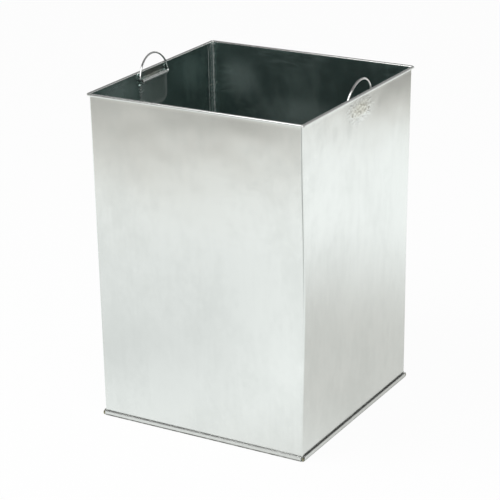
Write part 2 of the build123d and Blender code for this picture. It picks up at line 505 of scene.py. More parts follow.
def soil(material, mask, color, metallic=0.3):
    """Lays one more colour over a metal where the mask is, and takes its shine away there."""
    tree = material.node_tree
    shader = tree.nodes["Principled BSDF"]
    base = shader.inputs["Base Color"]
    tree.links.new(mix_colors(tree, mask, base.links[0].from_socket, (*color, 1.0)), base)
    shine = shader.inputs["Metallic"]
    kept = maths(tree, "SUBTRACT", 1.0, maths(tree, "MULTIPLY", mask, 1.0 - metallic))
    tree.links.new(maths(tree, "MULTIPLY", shine.links[0].from_socket, kept), shine)


def outside_share(tree, place):
    """One outside the foot of the walls and nothing within them."""
    flat = add(tree, "ShaderNodeVectorMath", {0: place}, operation="ABSOLUTE").outputs[0]
    parts = add(tree, "ShaderNodeSeparateXYZ", {0: flat})
    reach = maths(tree, "MAXIMUM", parts.outputs["X"], parts.outputs["Y"])
    return ramp(tree, reach, foot_half - outside_begins, foot_half - outside_full)


def soil_and_shade_crevice(material, full, gone, color, share, front_share):
    """Grime and painted shade in a crevice outside, full at one height and gone at another, with its own
    share in front.
    """
    tree = material.node_tree
    place = add(tree, "ShaderNodeTexCoord").outputs["Object"]
    band = place_group(tree, shader_group("crevice", crevice_shade_group), place, full=full, gone=gone)
    along = add(tree, "ShaderNodeSeparateXYZ", {0: place}).outputs["Y"]
    front = ramp(tree, along, -foot_half, front_strip - foot_half, front_share * share, share)
    kept = maths(tree, "MULTIPLY", front, outside_share(tree, place))
    soil(material, maths(tree, "MULTIPLY", band, kept), color)


def spot_mask(tree, place, middle, reach, ragged=1.0):
    """A soft spot's mask, with its half sizes in metres."""
    shape = tuple(1 / length for length in reach)
    group = shader_group("spot", spot_group)
    return place_group(tree, group, place, middle=middle, shape=shape, ragged=ragged)


def soil_spot(material, middle, reach, color, share, metallic, ragged=1.0):
    """One soft spot of another colour on a metal."""
    tree = material.node_tree
    place = add(tree, "ShaderNodeTexCoord").outputs["Object"]
    spot = spot_mask(tree, place, middle, reach, ragged)
    soil(material, maths(tree, "MULTIPLY", spot, share), color, metallic)


def pucker(material, middle, reach, length, depth):
    """Small irregular dents round a place, over the relief that a metal has."""
    tree = material.node_tree
    normal = tree.nodes["Principled BSDF"].inputs["Normal"]
    place = add(tree, "ShaderNodeTexCoord").outputs["Object"]
    grains = stretched_noise(tree, place, size=length, stretch=evenly, detail=2.0)
    dents = maths(tree, "MULTIPLY", grains, spot_mask(tree, place, middle, reach))
    inputs = {
        "Strength": 1.0,
        "Distance": 1.0,
        "Height": maths(tree, "MULTIPLY", dents, depth),
        "Normal": normal.links[0].from_socket,
    }
    tree.links.new(add(tree, "ShaderNodeBump", inputs).outputs["Normal"], normal)


def number_setting(name, description, default, **kind):
    """A number in a settings group, with its unit or subtype."""
    return bpy.props.FloatProperty(name=name, description=description, default=default, **kind)


def share_setting(name, description, default):
    """A number from 0 to 1 in a settings group."""
    return number_setting(name, description, default, subtype="FACTOR", min=0.0, max=1.0)


def length_setting(name, description, default):
    """A length in metres in a settings group."""
    return number_setting(name, description, default, unit="LENGTH")


def angle_setting(name, description, degrees):
    """An angle in a settings group."""
    return number_setting(name, description, math.radians(degrees), subtype="ANGLE")


def power_setting(name, description, watts):
    """A lamp's power in a settings group."""
    return number_setting(name, description, watts, unit="POWER")


def color_setting(name, description, default):
    """A colour in a settings group."""
    kind = {"subtype": "COLOR", "size": 3, "min": 0.0, "max": 1.0}
    return bpy.props.FloatVectorProperty(name=name, description=description, default=default, **kind)


class SheetSettings(bpy.types.PropertyGroup):
    """Finish of the zinc-coated sheet."""
    color: color_setting("Zinc", "Colour of the bright zinc coat", (0.935, 0.95, 0.932))
    dull: color_setting("Dull zinc", "Colour of the coat where it has bloomed", (0.81, 0.83, 0.81))
    roughness: share_setting("Roughness", "Roughness of the clean coat", 0.2)
    # Painted shade: the inside coat and its bloom are darker copies of the outside zinc, standing for the
    # shade inside the can
    inside: color_setting("Inside zinc", "Colour of the coat inside the can", (0.43, 0.555, 0.53))
    inside_bloom_and_shade: color_setting(
        "Inside bloom", "Colour of the coat inside where it has bloomed", (0.58, 0.69, 0.66))
    inside_roughness: share_setting("Inside roughness", "Roughness of the coat inside the can", 0.16)
    smudge: color_setting("Smudge", "Colour of the handling marks by the right strap", (0.50, 0.52, 0.50))
    scorch: color_setting(
        "Scorch", "Warm tint that the spot welds left on the side walls", (0.84, 0.81, 0.66))
    worn: color_setting(
        "Worn wall", "Colour of the wall behind each bail, above the strap", (0.56, 0.53, 0.48))
    dent_depth: length_setting("Dent depth", "Depth of the dents round the spot welds outside", 0.0006)
    wave_depth: length_setting("Wave depth", "How far the sheet waves in and out", 0.0004)
    ripple_depth: length_setting("Ripple depth", "Depth of the sheet's short ripples", 0.00008)


class FootSettings(bpy.types.PropertyGroup):
    """Finish of the foot seam and its soldered corners."""
    color: color_setting("Pan zinc", "Colour of the folded pan's coat", (0.82, 0.83, 0.81))
    # Painted shade and dirt: this colour darkens the seam's crevices and the pan's lower edge as shade as
    # well as dirt, and is the solder's tarnish
    grime_and_shade: color_setting("Grime", "Colour of the dirt in the seam's crevices", (0.10, 0.10, 0.09))
    solder: color_setting("Solder", "Colour of the corners' solder", (0.38, 0.36, 0.24))
    hammering: length_setting("Hammering", "How far the folded seam waves along its length", 0.00012)


class StrapSettings(bpy.types.PropertyGroup):
    """Finish of the two straps and the weld marks."""
    color: color_setting("Strap zinc", "Colour of the straps' coat", (0.70, 0.77, 0.74))
    rubbed: color_setting(
        "Rubbed zinc", "Colour of rubbed edges and of flux left beside the lap", (0.82, 0.85, 0.83))
    roughness: share_setting("Roughness", "Roughness of the straps' coat", 0.16)
    weld: color_setting("Weld mark", "Colour of the spot-weld marks", (0.70, 0.70, 0.64))


class WireSettings(bpy.types.PropertyGroup):
    """Finish of the bails and the rim wire."""
    color: color_setting("Wire", "Colour of the plated wire", (0.92, 0.92, 0.91))
    roughness: share_setting("Roughness", "Roughness of the plated wire", 0.11)


class StageSettings(bpy.types.PropertyGroup):
    """Camera, lamps and floor."""
    azimuth: angle_setting("Azimuth", "Camera's turn round the can", 29.9458)
    elevation: angle_setting("Elevation", "Camera's height angle", 20.2346)
    roll: angle_setting("Roll", "Camera's turn about its own axis", -0.7780)
    distance: length_setting("Distance", "Camera's distance from the foot's middle", 3.18717)
    across: length_setting("Across", "Camera's move to its right", -0.013064)
    up: length_setting("Up", "Camera's move up", 0.242471)
    lens: number_setting("Lens", "Focal length on a 36 mm sensor, in millimetres", 137.265)
    key: power_setting("Key lamp", "Power of the large overhead lamp", 42.0)
    fill: power_setting("Fill lamp", "Power of the lamp at the right", 8.0)
    glint: power_setting("Glint", "Power of the lamp that the bails' wire mirrors", 24.0)
    bead_glint: power_setting("Bead glint", "Power of the lamp that the front bead mirrors", 2.2)
    world: number_setting("World", "Strength of the light from all round", 0.4)
    floor: share_setting("Floor", "How white the floor itself is", 0.82)


# The wrapper is one bent sheet: columns run along it, rows run up it
def side_axes(side):
    """A wall's outward direction and the direction that the sheet runs along it."""
    out = Matrix.Rotation(math.radians(180 + 90 * side), 3, "Z") @ Vector((1, 0, 0))
    return out, Vector((0, 0, 1)).cross(out)


def sheet_columns(steps, bend_steps):
    """The sheet's columns from its free edge to its lap: kind, side and place from -1 to 1 or 0 to 1."""
    flange_edge = flange_half_length / (foot_half - corner_bend)
    places = [-1.0, -flange_edge]
    places += [-flange_edge + 2 * flange_edge * i / steps for i in range(1, steps)]
    places += [flange_edge, 1.0]
    columns = []
    for side in range(4):
        columns += [("wall", side, place) for place in places]
        columns += [("bend", side, i / bend_steps) for i in range(1, bend_steps)]
    lap_steps = 3
    columns += [("lap", lap_side, i / lap_steps) for i in range(lap_steps + 1)]
    return columns


def sheet_point(column, z):
    """Middle of the sheet and its outward direction for a column at a height."""
    kind, side, place = column
    half = half_at(z)
    flat = half - corner_bend
    middle = half - sheet / 2
    tuck = sheet + lap_gap if side == lap_side else 0.0
    out, along = side_axes(side)
    if kind == "wall":
        reach = flat - tuck if place > 0 else flat
        return out * middle + along * (place * reach), out
    center = out * flat + along * (flat - tuck)
    if kind == "bend":
        turned = Matrix.Rotation(math.radians(90) * place, 3, "Z") @ out
        return center + turned * (corner_bend - sheet / 2), turned
    lap_point = center + along * (corner_bend - sheet / 2)
    return lap_point - out * (place * (lap_width - corner_bend)), along


def bow_at(point, z):
    """How far the sheet has bowed at a place: each corner leans a little off straight half way up."""
    rise = math.sin(math.pi * (z - hook_z) / (bead_z - hook_z)) ** 2
    push = Vector((0, 0, 0))
    for corner, lean in corner_bows:
        gap = (Vector((corner[0] * foot_half, corner[1] * foot_half)) - Vector(point[:2])).length
        push += Vector((*lean, 0)) * math.exp(-((gap / bow_reach) ** 2))
    return push * rise


def clear_of_strap(point, out, z):
    """One on the free wall, falling to nothing where a strap is welded to it."""
    if abs(out.x) < side_facing:
        return 1.0
    center = hinge_at(out.x)
    beside = (abs(point.y - center.y) - plate_half) / held_beside_strap
    below = (center.z - plate_drop - z) / held_under_strap
    return min(max(beside, below, 0.0), 1.0)


def sheet_row(column, kind, step):
    """Point, direction and how free the sheet is to wave, at one column and row."""
    z_top = bead_z
    if column[0] == "lap":
        z_top -= lap_root_cut + (lap_cut - lap_root_cut) * column[2]
    if kind == "wall":
        z = hook_z + (z_top - hook_z) * step
        point, out = sheet_point(column, z)
        hold = min((z_top - z) / held_under_bead, (z - hook_z) / held_over_foot, 1.0)
        edge = 1 - abs(column[2]) if column[0] == "wall" else 0.0
        eased = min(max(edge - still_by_corner, 0.0) / easing_by_corner, 1.0)
        free = max(hold, 0.0) * eased * clear_of_strap(point, out, z)
        return point + bow_at(point, z) + Vector((0, 0, z)), out, free
    if kind == "bead":
        point, out = sheet_point(column, bead_z)
        along = side_axes(column[1])[1]
        over = math.radians(180) - bead_sweep * step
        place = along.dot(point)
        stretch = bead_half_length / (rim_half - corner_bend)
        eased = min(step / bead_end_ease, 1.0)
        shift = place * (stretch - 1) * eased
        if column[1] == lap_side and place > 0:
            shift += (sheet + lap_gap) * place / rim_half * eased
        turn = out * math.cos(over) + Vector((0, 0, math.sin(over)))
        center = out * (rim_half + bead_inner) + Vector((0, 0, bead_z))
        return center + turn * (bead_inner + sheet / 2) + along * (place + shift), -turn, 0.0
    point, out = sheet_point(column, hook_z)
    along = side_axes(column[1])[1]
    inner = flange_u / 2
    center = out * (foot_half + inner) + Vector((0, 0, hook_z)) + along * along.dot(point)
    if step <= 1.0:
        under = math.radians(180 + 180 * step)
        turn = out * math.cos(under) + Vector((0, 0, math.sin(under)))
        return center + turn * (inner + sheet / 2), -turn, 0.0
    rise = (step - 1.0) * (fold_z - hook_z)
    return center + out * (inner + sheet / 2) + Vector((0, 0, rise)), -out, 0.0


def finished_mesh(name, mesh):
    """Keeps a mesh that has been built as data, and frees its builder."""
    data = bpy.data.meshes.new(name)
    mesh.to_mesh(data)
    mesh.free()
    return data


def closed_sheet(name, size, place, has_cell, is_inside):
    """A sheet with its thickness over a grid of columns and rows, closed along every free edge.

    place gives a grid point's middle, its direction, a share that nodes read, which is its freedom to
    wave or its place on a border, and its thickness in front and behind.
    """
    mesh = bmesh.new()
    share_layer = mesh.verts.layers.float.new("share")
    out_layer = mesh.verts.layers.float_vector.new("outward")
    inside_layer = mesh.faces.layers.float.new("inside")
    made = {}

    def corner(c, r, skin):
        """The vertex of a column and row on one skin, made on first use."""
        key = (c, r, skin)
        if key not in made:
            point, out, share, front, behind = place(c, r)
            vertex = mesh.verts.new(point + out * (front if skin > 0 else -behind))
            vertex[share_layer] = share
            vertex[out_layer] = out
            made[key] = vertex
        return made[key]

    for c in range(size[0] - 1):
        for r in range(size[1] - 1):
            if not has_cell(c, r):
                continue
            cell = [(c, r), (c + 1, r), (c + 1, r + 1), (c, r + 1)]
            mesh.faces.new([corner(*at, 1) for at in cell])
            inner = mesh.faces.new([corner(*at, -1) for at in reversed(cell)])
            inner[inside_layer] = is_inside(r)
            neighbours = [(c, r - 1), (c + 1, r), (c, r + 1), (c - 1, r)]
            for i, beside in enumerate(neighbours):
                if not has_cell(*beside):
                    a, b = cell[i], cell[(i + 1) % 4]
                    mesh.faces.new([corner(*b, 1), corner(*a, 1), corner(*a, -1), corner(*b, -1)])
    return finished_mesh(name, mesh)


def sheet_mesh(name):
    """The wrapper's whole bent sheet: walls, lap, rolled rim and foot flanges."""
    columns = sheet_columns(steps=44, bend_steps=8)
    wall_steps = 64
    bead_steps = 30
    hook_steps = 8
    rows = [("hook", 2.0)] + [("hook", 1 - i / hook_steps) for i in range(hook_steps)]
    first_wall = len(rows)
    rows += [("wall", i / wall_steps) for i in range(wall_steps + 1)]
    first_bead = len(rows) - 1
    rows += [("bead", (i + 1) / bead_steps) for i in range(bead_steps)]

    def place(c, r):
        """A grid point of the wrapper."""
        return (*sheet_row(columns[c], *rows[r]), sheet / 2, sheet / 2)

    def has_cell(c, r):
        """Whether the sheet is there between a column and the next, and a row and the next."""
        if r < 0 or c < 0 or c + 1 >= len(columns) or r + 1 >= len(rows):
            return False
        left, right = columns[c], columns[c + 1]
        one_wall = left[0] == right[0] == "wall" and left[1] == right[1]
        if r >= first_bead:
            return one_wall
        if r < first_wall:
            return one_wall and abs(left[2]) < 1 and abs(right[2]) < 1
        return True

    return closed_sheet(name, (len(columns), len(rows)), place, has_cell, lambda r: float(r < first_bead))


def fold_line():
    """Middle line of the pan's folded edge: distance out of the wall, height, and its own direction."""
    hook_steps = 6
    rise_steps = 4
    fold_steps = 8
    drop_steps = 3
    line = []
    for i in range(hook_steps + 1):
        turn = math.radians(-90 + 90 * i / hook_steps)
        line.append((hook_u + pan_bend * math.cos(turn), hook_z + pan_bend * math.sin(turn), turn))
    for i in range(1, rise_steps):
        line.append((seam_out - sheet / 2, hook_z + (fold_z - hook_z) * i / rise_steps, 0.0))
    for i in range(fold_steps + 1):
        turn = math.radians(180 * i / fold_steps)
        line.append((fold_u + fold_radius * math.cos(turn), fold_z + fold_radius * math.sin(turn), turn))
    for i in range(1, drop_steps + 1):
        line.append((fold_u - fold_radius, fold_z + (hook_z - fold_z) * i / drop_steps, math.pi))
    return line


def pan_mesh(name, hammering):
    """The bottom pan: a flat sheet whose four edges fold over the wrapper's foot."""
    line = fold_line()
    steps = 60
    folds = len(line)
    count = steps + 1 + 2 * folds

    def edge_of(index):
        """Which fold an index lies on: its side, 1 or -1, and its place in the line, or no side."""
        if index < folds:
            return -1, folds - 1 - index
        if index > folds + steps:
            return 1, index - folds - steps - 1
        return 0, 0

    def flat_at(index):
        """Place on the flat of an index that lies on no fold."""
        return seam_half_length * (2 * (index - folds) / steps - 1)

    def place(c, r):
        """A grid point of the pan."""
        for index, other, axis in ((c, r, 0), (r, c, 1)):
            side, at = edge_of(index)
            if side:
                out, z, turn = line[at]
                along = flat_at(other)
                wave = noise.noise(Vector((along * hammer_rate, side * 3.0, axis * 5.0))) * hammering
                point = Vector((0, 0, z))
                point[axis] = side * (foot_half + out + wave * min(z / seam_height, 1.0))
                point[1 - axis] = along
                toward = Vector((0, 0, -math.sin(turn)))
                toward[axis] = -side * math.cos(turn)
                return point, toward, 0.0, sheet / 2, sheet / 2
        return Vector((flat_at(c), flat_at(r), sheet / 2)), Vector((0, 0, 1)), 0.0, sheet / 2, sheet / 2

    def has_cell(c, r):
        """Whether the pan is there: everywhere but the corners, where two folds would meet."""
        if min(c, r) < 0 or max(c, r) + 1 >= count:
            return False
        return folds <= c < folds + steps or folds <= r < folds + steps

    return closed_sheet(name, (count, count), place, has_cell, lambda r: 0.0)


def solder_mesh(name):
    """Four lumps of solder that close the foot's corners."""
    mesh = bmesh.new()
    for turn in range(4):
        corner = Matrix.Rotation(math.radians(90 * turn), 3, "Z") @ Vector((1, 1, 0))
        flat = corner * (foot_side / 2 - solder_half.x - solder_inset)
        center = flat + Vector((0, 0, solder_half.z + solder_lift))
        made = bmesh.ops.create_icosphere(mesh, subdivisions=4, radius=1.0)
        for vertex in made["verts"]:
            uneven = abs(noise.noise(vertex.co * solder_grain + corner * solder_shift))
            vertex.co = center + vertex.co * solder_half * (1 - solder_unevenness * uneven)
    return finished_mesh(name, mesh)


def wall_behind(side):
    """Inner face of a side wall behind its tube: place, inward direction and the way up it."""
    tilt = math.atan(wall_slope)
    inward = Vector((-side * math.cos(tilt), 0, math.sin(tilt)))
    up = Vector((side * math.sin(tilt), 0, math.cos(tilt)))
    return hinge_at(side) + Vector((0, 0, bar_drop)) - inward * tube_u, inward, up


def plate_half_at(rise):
    """Half the strap's width at a distance up from its tube."""
    low = rise + plate_drop
    high = -plate_shoulder - rise
    if low < plate_corner:
        return plate_half - plate_corner + math.sqrt(plate_corner ** 2 - (plate_corner - low) ** 2)
    if high < 0:
        return tube_half
    if high < shoulder_corner:
        return plate_half - shoulder_corner + math.sqrt(shoulder_corner ** 2 - (shoulder_corner - high) ** 2)
    return plate_half


def weld_dent(along, rise):
    """How deep a strap is pressed in at a place by its spot welds."""
    gaps = [math.hypot(along - spot[0], rise - spot[1]) / weld_radius for spot in weld_spots]
    return weld_depth * max(1 - min(gaps) ** 4, 0.0)


def border_at(along, rise):
    """One on the strap's raised border, falling to nothing inside it."""
    gap = min(plate_half_at(rise) - abs(along), rise + plate_drop)
    return min(max((border_width - gap) / border_slope, 0.0), 1.0)


def strap_mesh(name, side):
    """A welded plate whose upper edge is rolled over into the bail's tube."""
    origin, inward, up = wall_behind(side)
    across = up.cross(inward)
    columns = [i / 50 - 1 for i in range(101)]
    corner_rows = [plate_corner * (1 - math.cos(math.radians(9 * i))) for i in range(10)]
    plate_rows = [row - plate_drop for row in corner_rows]
    plate_rows += [plate_corner - plate_drop + plate_row * i for i in range(37)]
    shoulder_low = -plate_shoulder - shoulder_corner
    plate_rows = [rise for rise in plate_rows if rise < shoulder_low - plate_row / 2]
    plate_rows += [shoulder_low + shoulder_corner * math.sin(math.radians(15 * i)) for i in range(7)]
    plate_rows += [shoulder_edge - plate_shoulder, -plate_shoulder / 2]
    ring_steps = 48
    ring_rows = [math.pi - strap_sweep * i / ring_steps for i in range(ring_steps + 1)]

    def place(c, r):
        """A grid point of the strap."""
        if r < len(plate_rows):
            rise = plate_rows[r]
            along = columns[c] * plate_half_at(rise)
            point = origin + inward * (strap_gap + strap_sheet / 2) + up * rise + across * along
            border = border_at(along, rise)
            front = strap_sheet / 2 - weld_dent(along * across.y, rise) + border_rise * border
            return point, inward, border_rub * border, front, strap_sheet / 2
        turn = ring_rows[r - len(plate_rows)]
        ring = inward * math.cos(turn) + up * math.sin(turn)
        middle = origin + inward * tube_u + across * (columns[c] * tube_half)
        point = middle + ring * (strap_bore + strap_sheet / 2)
        return point, -ring, tube_rub, strap_sheet / 2, strap_sheet / 2

    size = (len(columns), len(plate_rows) + len(ring_rows))

    def has_cell(c, r):
        """The strap is whole."""
        return 0 <= c < size[0] - 1 and 0 <= r < size[1] - 1

    return closed_sheet(name, size, place, has_cell, lambda r: 0.0)


def arc(center, radius, start, sweep, steps):
    """Points along an arc, its start left out."""
    turns = [start + sweep * (i + 1) / steps for i in range(steps)]
    return [(center[0] + radius * math.cos(turn), center[1] + radius * math.sin(turn)) for turn in turns]


def path_mesh(name, points):
    """A path as a mesh of edges, for the wire's nodes."""
    data = bpy.data.meshes.new(name)
    data.from_pydata(points, [(i, i + 1) for i in range(len(points) - 1)], [])
    return data


def bail_path(side):
    """A bail's middle line at rest: a half-round loop on a straight bar."""
    arch_low = bail_rise - arch_radius
    reach = arch_radius - bail_corner
    half_arch = math.acos((bail_corner - arch_low) / reach)
    bar = reach * math.sin(half_arch)
    down = math.radians(270)
    end = bail_ends_gap / 2
    bar_steps = 6
    half = [(end + (bar - end) * i / bar_steps, 0.0) for i in range(bar_steps + 1)]
    half += arc((bar, bail_corner), bail_corner, down, math.pi - half_arch, steps=10)
    half += arc((0, arch_low), arch_radius, math.pi / 2 - half_arch, half_arch, steps=36)
    whole = half + [(-along, rise) for along, rise in reversed(half[:-1])]
    lean = Vector((side * math.sin(bail_lean), 0, math.cos(bail_lean)))
    return [hinge_at(side) + Vector((0, along, 0)) + lean * rise for along, rise in whole]


def rim_wire_path():
    """The rim wire's middle line: a square with bent corners and its butt in the back bead."""
    flat = wire_half - rim_wire_bend
    points = [(rim_wire_butt_x + rim_wire_butt, wire_half)]
    for turn, corner in ((90, (1, 1)), (0, (1, -1)), (-90, (-1, -1)), (-180, (-1, 1))):
        center = (corner[0] * flat, corner[1] * flat)
        start = math.radians(turn)
        start_x = center[0] + rim_wire_bend * math.cos(start)
        start_y = center[1] + rim_wire_bend * math.sin(start)
        points.append((start_x, start_y))
        points += arc(center, rim_wire_bend, start, -math.pi / 2, steps=8)
    points.append((rim_wire_butt_x, wire_half))
    return [Vector((x, y, bead_z)) for x, y in points]


def weld_points(name):
    """One vertex for each weld mark that shows on the walls and the lap, with its way out."""
    mesh = bmesh.new()
    out_layer = mesh.verts.layers.float_vector.new("outward")

    def mark(point, out):
        """One mark."""
        vertex = mesh.verts.new(point + bow_at(point, point.z))
        vertex[out_layer] = out

    for side in (-1, 1):
        origin, inward, up = wall_behind(side)
        for along, rise in upper_welds:
            mark(origin + Vector((0, along, 0)) + up * rise - inward * sheet, -inward)
    for i in range(lap_weld_count):
        z = lap_weld_low + lap_weld_step * i
        half = half_at(z)
        along = half - (lap_width + corner_bend) / 2
        mark(Vector((-half, along, z)), Vector((-1, 0, 0)))
        mark(Vector((2 * sheet + lap_gap - half, along, z)), Vector((1, 0, 0)))
    return finished_mesh(name, mesh)


def new_nodes(name, inputs):
    """A geometry node tree with geometry in, named inputs, and material inputs where no value is given."""
    tree = bpy.data.node_groups.new(name, "GeometryNodeTree")
    tree.interface.new_socket("Geometry", in_out="INPUT", socket_type="NodeSocketGeometry")
    for label, value in inputs.items():
        kind = "NodeSocketMaterial" if value is None else float_input
        socket = tree.interface.new_socket(label, in_out="INPUT", socket_type=kind)
        if value is not None:
            socket.default_value = value
    tree.interface.new_socket("Geometry", in_out="OUTPUT", socket_type="NodeSocketGeometry")
    return tree, add(tree, "NodeGroupInput")


def end_nodes(tree, geometry, material):
    """Ends a tree: makes its instances real and sets their material."""
    real = add(tree, "GeometryNodeRealizeInstances", {"Geometry": geometry})
    coated = add(tree, "GeometryNodeSetMaterial", {"Geometry": real.outputs[0], "Material": material})
    add(tree, "NodeGroupOutput", {"Geometry": coated.outputs[0]})


def circle(tree, count, radius):
    """A circle with so many points, as a curve."""
    inputs = {"Resolution": count, "Radius": radius}
    return add(tree, "GeometryNodeCurvePrimitiveCircle", inputs).outputs[0]


def attribute(tree, name, kind="FLOAT"):
    """A named attribute of the geometry."""
    return add(tree, "GeometryNodeInputNamedAttribute", {"Name": name}, data_type=kind).outputs["Attribute"]


def wire_nodes():
    """Geometry nodes that turn a path of edges into round wire with closed ends."""
    tree, entry = new_nodes("Round wire", {"Radius": wire_radius, "Finish": None})
    path = add(tree, "GeometryNodeMeshToCurve", {"Mesh": entry.outputs["Geometry"]})
    section = circle(tree, count=24, radius=entry.outputs["Radius"])
    inputs = {"Curve": path.outputs[0], "Profile Curve": section, "Fill Caps": True}
    wire = add(tree, "GeometryNodeCurveToMesh", inputs)
    end_nodes(tree, wire.outputs[0], entry.outputs["Finish"])
    return tree


def weld_nodes():
    """Geometry nodes that set a pressed mark on each point: a low ring round a flat middle."""
    inputs = {"Radius": 0.0028, "Lip": 0.0003, "Flatness": 0.4, "Least": 0.45, "Most": 1.1, "Finish": None}
    tree, entry = new_nodes("Weld marks", inputs)
    ring = circle(tree, count=24, radius=entry.outputs["Radius"])
    section = circle(tree, count=8, radius=entry.outputs["Lip"])
    lip = add(tree, "GeometryNodeCurveToMesh", {"Curve": ring, "Profile Curve": section})
    inputs = {"Vertices": 24, "Radius": entry.outputs["Radius"], "Depth": entry.outputs["Lip"]}
    middle = add(tree, "GeometryNodeMeshCylinder", inputs)
    mark = add(tree, "GeometryNodeJoinGeometry")
    tree.links.new(lip.outputs[0], mark.inputs[0])
    tree.links.new(middle.outputs[0], mark.inputs[0])
    out = attribute(tree, "outward", "FLOAT_VECTOR")
    turned = add(tree, "FunctionNodeAlignRotationToVector", {"Vector": out}, axis="Z")
    inputs = {random_low: entry.outputs["Least"], random_high: entry.outputs["Most"], "Seed": weld_seed}
    wide = add(tree, "FunctionNodeRandomValue", inputs, data_type="FLOAT").outputs[random_result]
    thick = maths(tree, "MULTIPLY", wide, entry.outputs["Flatness"])
    squashed = add(tree, "ShaderNodeCombineXYZ", {0: wide, 1: wide, 2: thick})
    inputs = {
        "Points": entry.outputs["Geometry"],
        "Instance": mark.outputs[0],
        "Rotation": turned.outputs[0],
        "Scale": squashed.outputs[0],
    }
    marks = add(tree, "GeometryNodeInstanceOnPoints", inputs)
    end_nodes(tree, marks.outputs[0], entry.outputs["Finish"])
    return tree


def sheet_waves():
    """Geometry nodes that let the sheet wave in and out where its share attribute lets it."""
    inputs = {
        "Depth": 0.0004,
        "Length": 0.16,
        "Ripple depth": 0.0001,
        "Ripple length": 0.045,
        "Outside": None,
        "Inside": None,
    }
    tree, entry = new_nodes("Sheet waves", inputs)
    place = add(tree, "GeometryNodeInputPosition").outputs[0]
    free = attribute(tree, "share")
    out = attribute(tree, "outward", "FLOAT_VECTOR")
    height = add(tree, "ShaderNodeSeparateXYZ", {0: place}).outputs["Z"]
    upper = ramp(tree, height, low=0.36, high=0.5, to_low=0.15, to_high=2.4)
    waves = []
    for depth, length, share in (("Depth", "Length", 1.0), ("Ripple depth", "Ripple length", upper)):
        scale = maths(tree, "DIVIDE", 1.0, entry.outputs[length])
        bumps = add(tree, "ShaderNodeTexNoise", {"Vector": place, "Scale": scale, "Detail": 1.0})
        wave = maths(tree, "MULTIPLY", maths(tree, "SUBTRACT", bumps.outputs["Fac"], 0.5), wave_gain)
        waves.append(maths(tree, "MULTIPLY", maths(tree, "MULTIPLY", wave, entry.outputs[depth]), share))
    push = maths(tree, "MULTIPLY", maths(tree, "ADD", *waves), free)
    offset = add(tree, "ShaderNodeVectorMath", {0: out, "Scale": push}, operation="SCALE")
    inputs = {"Geometry": entry.outputs["Geometry"], "Offset": offset.outputs[0]}
    moved = add(tree, "GeometryNodeSetPosition", inputs)
    real = add(tree, "GeometryNodeRealizeInstances", {"Geometry": moved.outputs[0]})
    inputs = {"Geometry": real.outputs[0], "Material": entry.outputs["Outside"]}
    coated = add(tree, "GeometryNodeSetMaterial", inputs)
    inputs = {
        "Geometry": coated.outputs[0],
        "Selection": attribute(tree, "inside"),
        "Material": entry.outputs["Inside"],
    }
    lined = add(tree, "GeometryNodeSetMaterial", inputs)
    add(tree, "NodeGroupOutput", {"Geometry": lined.outputs[0]})
    return tree


def smooth_faces(mesh):
    """Shades a mesh smooth but at its sharp edges."""
    mesh.shade_smooth()
    mesh.set_sharp_from_angle(angle=sharp_angle)


def apply_nodes(holder, tree, **values):
    """Runs a geometry node tree on an object and keeps the result as its plain mesh."""
    modifier = holder.modifiers.new(tree.name, "NODES")
    modifier.node_group = tree
    sockets = {item.name: item.identifier for item in tree.interface.items_tree if item.in_out == "INPUT"}
    for name, value in values.items():
        modifier[sockets[name.replace("_", " ").capitalize()]] = value
    graph = bpy.context.evaluated_depsgraph_get()
    plain = bpy.data.meshes.new_from_object(holder.evaluated_get(graph))
    holder.modifiers.remove(modifier)
    old = holder.data
    holder.data = plain
    bpy.data.meshes.remove(old)
    plain.name = holder.name
    smooth_faces(plain)


def new_piece(name, data, material=None):
    """An object at the origin that holds a mesh; with a material it is also smooth but at its edges."""
    piece = bpy.data.objects.new(name, data)
    bpy.context.scene.collection.objects.link(piece)
    if material:
        data.materials.append(material)
        smooth_faces(data)
    return piece


def seat(piece, body, node=None):
    """Seats a piece on its body and hides the node that it stands for, if it has one."""
    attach(piece, body)
    if node:
        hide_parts(node)


